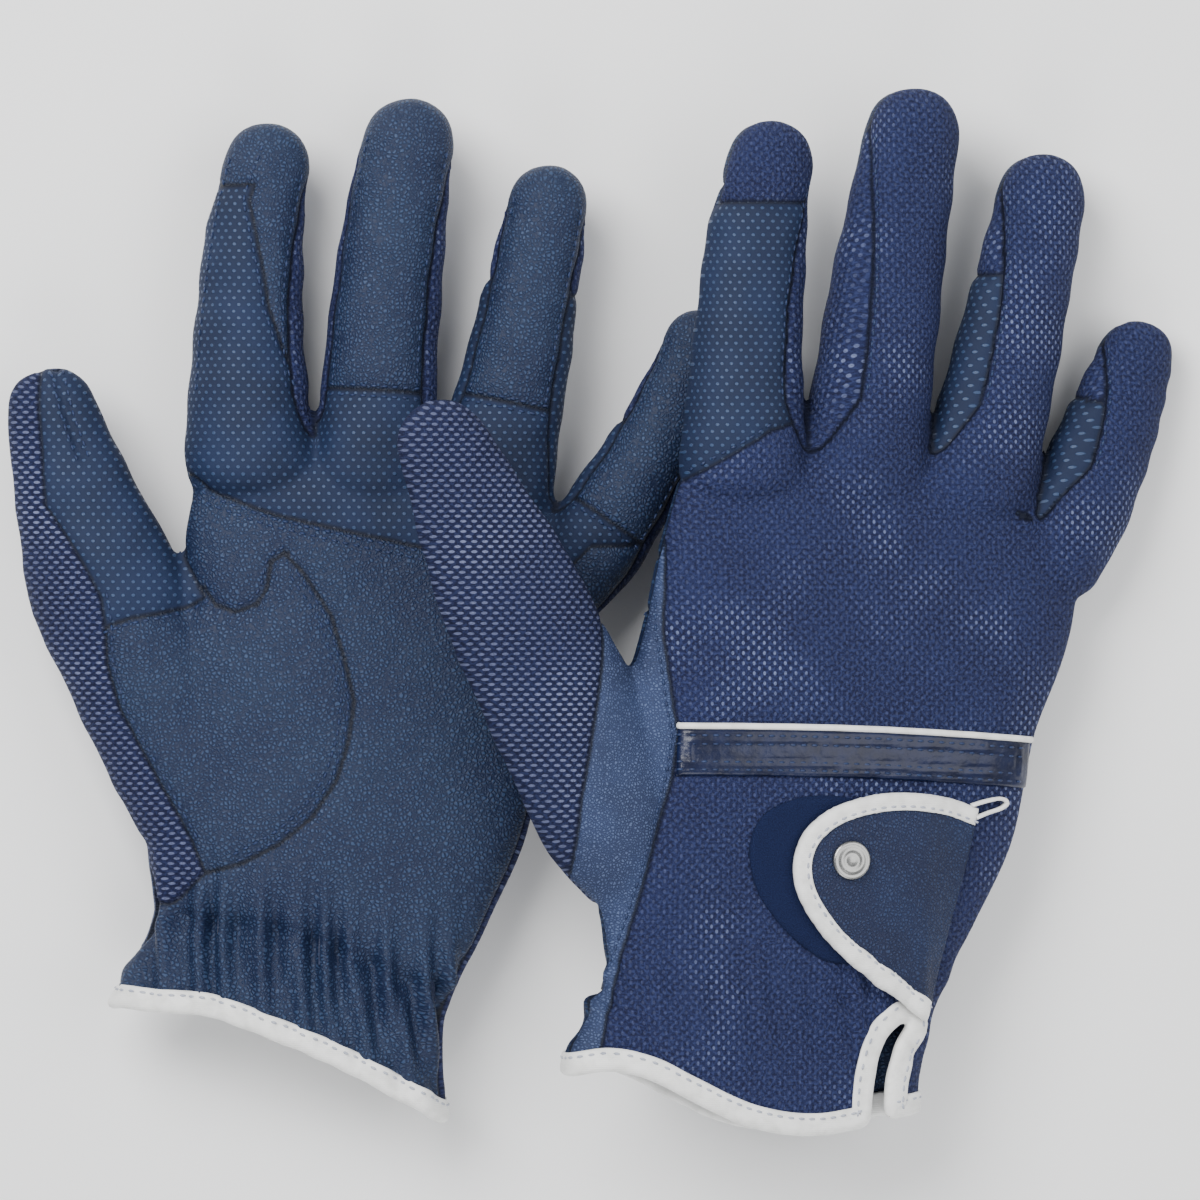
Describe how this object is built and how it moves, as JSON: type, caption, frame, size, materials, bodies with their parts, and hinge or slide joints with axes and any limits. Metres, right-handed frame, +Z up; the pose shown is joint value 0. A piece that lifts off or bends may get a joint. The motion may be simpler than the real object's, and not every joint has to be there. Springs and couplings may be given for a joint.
{
  "type": "pair of riding gloves",
  "caption": "Pair of full-finger riding gloves with mesh backs, leather palms, grip cloth, bound elasticated cuffs and wrist tabs that peel open.",
  "frame": {"origin": "middle of the pair's footprint, at the table", "axes": "+Z up from the table, +Y towards the fingertips, +X from the palm-up left glove to the back-up right glove"},
  "size_m": [0.2668, 0.2398, 0.0582],
  "materials": {
    "mesh": "open knit, matt",
    "leather": "fine pebbled grain",
    "grip": "smooth cloth with small raised grip dots",
    "patent": "patent, glossy",
    "piping": "folded smooth tape",
    "elastic": "covered elastic",
    "pad": "hook and loop pile",
    "metal": "satin"
  },
  "bodies": {
    "left_hand": {"left_little_back": "mesh", "left_little_palm": "leather", "left_little_gusset": "mesh", "left_thenar_palm": "leather", "left_grip_panel": "grip", "left_palm_panel": "leather", "left_thenar_back": "mesh", "left_back_panel": "mesh", "left_side_strip": "leather", "left_knuckle_band": "patent", "left_band_piping": "piping", "left_loop_pad": "pad", "left_cuff_binding": "piping", "left_wrist_elastic": "elastic"},
    "left_index": {"left_index_palm": "leather", "left_index_gusset": "mesh", "left_index_back": "mesh", "left_index_grip": "grip"},
    "left_middle": {"left_middle_back": "mesh", "left_middle_palm": "leather", "left_middle_gusset": "mesh"},
    "left_ring": {"left_ring_back": "mesh", "left_ring_palm": "leather", "left_ring_gusset": "mesh"},
    "left_thumb": {"left_thumb_back": "mesh", "left_thumb_grip": "grip"},
    "left_tab": {"left_wrist_tab": "leather", "left_tab_binding": "piping", "left_hook_pad": "pad", "left_snap_rivet": "metal"},
    "right_hand": {"right_thenar_palm": "leather", "right_grip_panel": "grip", "right_palm_panel": "leather", "right_thenar_back": "mesh", "right_back_panel": "mesh", "right_side_strip": "leather", "right_knuckle_band": "patent", "right_band_piping": "piping", "right_loop_pad": "pad", "right_cuff_binding": "piping", "right_wrist_elastic": "elastic"},
    "right_index": {"right_index_palm": "leather", "right_index_gusset": "mesh", "right_index_back": "mesh", "right_index_grip": "grip"},
    "right_middle": {"right_middle_back": "mesh", "right_middle_palm": "leather", "right_middle_gusset": "mesh"},
    "right_ring": {"right_ring_back": "mesh", "right_ring_palm": "leather", "right_ring_gusset": "mesh"},
    "right_little": {"right_little_back": "mesh", "right_little_palm": "leather", "right_little_gusset": "mesh"},
    "right_thumb": {"right_thumb_back": "mesh", "right_thumb_grip": "grip"},
    "right_tab": {"right_wrist_tab": "leather", "right_tab_binding": "piping", "right_hook_pad": "pad", "right_snap_rivet": "metal"}
  },
  "joints": [
    {"name": "left_index_bend", "type": "hinge", "parent": "left_hand", "child": "left_index", "pos_m": [-0.07905, 0.04926, 0.02774], "axis": [0.9995, 0.0328, 0], "range_deg": [0, 70], "stiffness_Nm_per_rad": 0.04},
    {"name": "left_middle_bend", "type": "hinge", "parent": "left_hand", "child": "left_middle", "pos_m": [-0.04914, 0.05024, 0.0276], "axis": [0.9982, -0.0605, 0], "range_deg": [0, 70], "stiffness_Nm_per_rad": 0.04},
    {"name": "left_ring_bend", "type": "hinge", "parent": "left_hand", "child": "left_ring", "pos_m": [-0.01925, 0.0475, 0.02688], "axis": [0.9786, -0.2058, 0], "range_deg": [0, 70], "stiffness_Nm_per_rad": 0.04},
    {"name": "left_thumb_bend", "type": "hinge", "parent": "left_hand", "child": "left_thumb", "pos_m": [-0.11247, 0.00733, 0.02847], "axis": [0.9392, 0.3435, 0], "range_deg": [0, 45], "stiffness_Nm_per_rad": 0.04},
    {"name": "left_tab_peel", "type": "hinge", "parent": "left_hand", "child": "left_tab", "pos_m": [-0.03166, -0.07044, 0.0087], "axis": [-0.2667, -0.9622, 0.0542], "range_deg": [0, 110]},
    {"name": "right_index_bend", "type": "hinge", "parent": "right_hand", "child": "right_index", "pos_m": [0.03768, 0.04767, 0.04282], "axis": [0.9655, -0.0304, -0.2587], "range_deg": [0, 45], "stiffness_Nm_per_rad": 0.04},
    {"name": "right_middle_bend", "type": "hinge", "parent": "right_hand", "child": "right_middle", "pos_m": [0.06666, 0.04776, 0.03577], "axis": [0.9568, -0.1373, -0.2564], "range_deg": [0, 45], "stiffness_Nm_per_rad": 0.04},
    {"name": "right_ring_bend", "type": "hinge", "parent": "right_hand", "child": "right_ring", "pos_m": [0.09491, 0.04567, 0.02722], "axis": [0.934, -0.2551, -0.2503], "range_deg": [0, 45], "stiffness_Nm_per_rad": 0.04},
    {"name": "right_little_bend", "type": "hinge", "parent": "right_hand", "child": "right_little", "pos_m": [0.11748, 0.03161, 0.0199], "axis": [0.8887, -0.3918, -0.2381], "range_deg": [0, 45], "stiffness_Nm_per_rad": 0.04},
    {"name": "right_thumb_bend", "type": "hinge", "parent": "right_hand", "child": "right_thumb", "pos_m": [-0.01894, 0.00937, 0.05757], "axis": [0.8724, 0.4293, -0.2338], "range_deg": [0, 35], "stiffness_Nm_per_rad": 0.04},
    {"name": "right_tab_peel", "type": "hinge", "parent": "right_hand", "child": "right_tab", "pos_m": [0.08293, -0.07014, 0.02957], "axis": [0.2726, 0.962, -0.013], "range_deg": [0, 110]},
    {"name": "right_glove_lift", "type": "slide", "parent": "left_hand", "child": "right_hand", "axis": [0, 0, 1], "range_m": [0, 0.15]}
  ]
}
